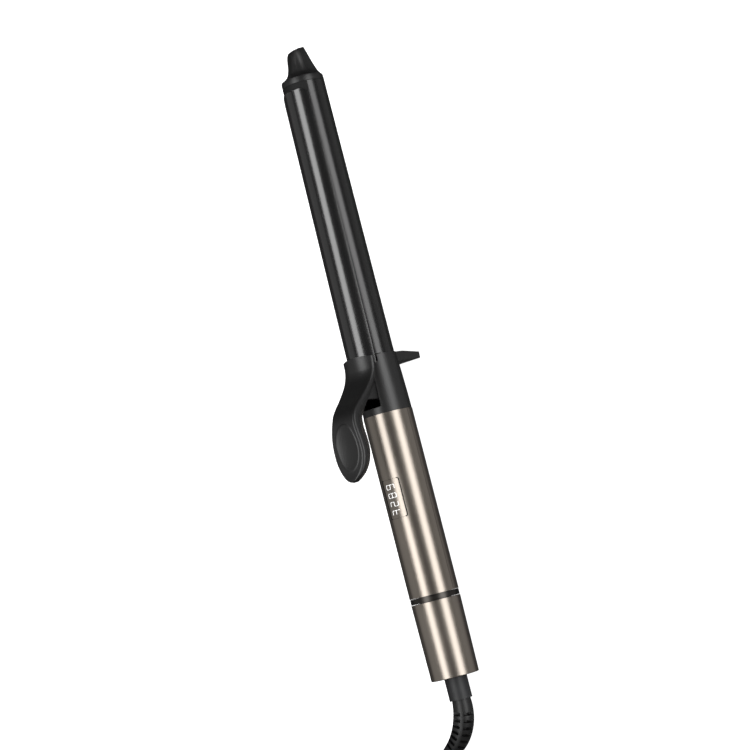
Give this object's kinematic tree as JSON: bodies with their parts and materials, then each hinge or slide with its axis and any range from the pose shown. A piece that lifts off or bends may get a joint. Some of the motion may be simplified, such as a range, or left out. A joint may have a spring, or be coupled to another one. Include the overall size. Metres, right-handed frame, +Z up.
{
  "type": "curling iron",
  "caption": "Curling iron with a sprung clip and thumb lever, a stand under its collar, a display window, a twist dial at the handle's end and a swivel cord.",
  "frame": {"origin": "middle of the stand's foot, on the table the iron lies on", "axes": "+Z up, +X along the table towards the cool tip, +Y to the iron's left seen from the handle"},
  "size_m": [0.6096, 0.0617, 0.0715],
  "materials": {
    "barrel_coating": "satin, tourmaline ceramic coating",
    "satin_plastic": "satin",
    "heat_proof_plastic": "matte, glass-filled",
    "handle_metal": "metallic champagne, satin",
    "dark_metal": "satin dark plating",
    "window_plastic": "smoked, glossy",
    "pad_rubber": "soft matte",
    "aluminium": "as cast",
    "steel": "plain",
    "ceramic_heater": "unglazed",
    "inner_plastic": "plain moulding",
    "board": "lacquered laminate",
    "lead_sleeve": "glass-fibre sleeving",
    "brass": "turned",
    "carbon": "pressed graphite",
    "cord_rubber": "satin flexible PVC",
    "tie_strap": "woven hook-and-loop strap",
    "plated_brass": "nickel plated"
  },
  "bodies": {
    "handle": {"barrel_tube": "barrel_coating", "barrel_mount": "heat_proof_plastic", "cool_tip": "satin_plastic", "tip_insulator": "heat_proof_plastic", "heater_block_upper": "aluminium", "heater_block_lower": "aluminium", "heater_plate": "ceramic_heater", "temperature_sensor": "steel", "thermal_fuse": "steel", "tip_screw": "steel", "collar": "satin_plastic", "hinge_pin": "steel", "lever_spring": "steel", "upper_shell": "handle_metal", "lower_shell": "handle_metal", "display_window": "window_plastic", "accent_band": "dark_metal", "chassis": "inner_plastic", "circuit_board": "board", "display_module": "window_plastic", "power_block": "inner_plastic", "capacitor": "aluminium", "heater_switch": "inner_plastic", "heater_leads": "lead_sleeve", "sensor_leads": "lead_sleeve", "tail_core": "inner_plastic", "bushing_outer": "brass", "bushing_inner": "brass", "brush_holder": "inner_plastic", "brushes": "carbon", "supply_leads": "lead_sleeve", "dial_board": "board"},
    "clamp": {"clip_plate": "barrel_coating", "thumb_lever": "satin_plastic", "thumb_pad": "pad_rubber", "clip_rivets": "steel"},
    "dial": {"end_sleeve": "handle_metal", "dial_carrier": "inner_plastic", "wiper_ring": "brass"},
    "cord_swivel": {"swivel_collar": "satin_plastic", "swivel_spindle": "inner_plastic", "slip_rings": "brass", "retaining_clip": "steel", "strain_relief": "cord_rubber", "cord_tube": "cord_rubber", "cord_hank": "cord_rubber", "cord_tie": "tie_strap", "cord_tail": "cord_rubber", "plug_body": "cord_rubber", "plug_blades": "plated_brass"}
  },
  "joints": [
    {"name": "clamp_hinge", "type": "hinge", "parent": "handle", "child": "clamp", "pos_m": [-0.00653, 0, 0.0367], "axis": [0, -1, 0], "range_deg": [0, 20], "stiffness_Nm_per_rad": 0.35, "springref_deg": -20.05},
    {"name": "dial_turn", "type": "hinge", "parent": "handle", "child": "dial", "pos_m": [-0.16938, 0, 0.01571], "axis": [0.9968, 0, 0.0794], "range_deg": [0, 270]},
    {"name": "cord_swivel_turn", "type": "hinge", "parent": "handle", "child": "cord_swivel", "pos_m": [-0.18932, 0, 0.01412], "axis": [0.9968, 0, 0.0794], "continuous": true}
  ]
}
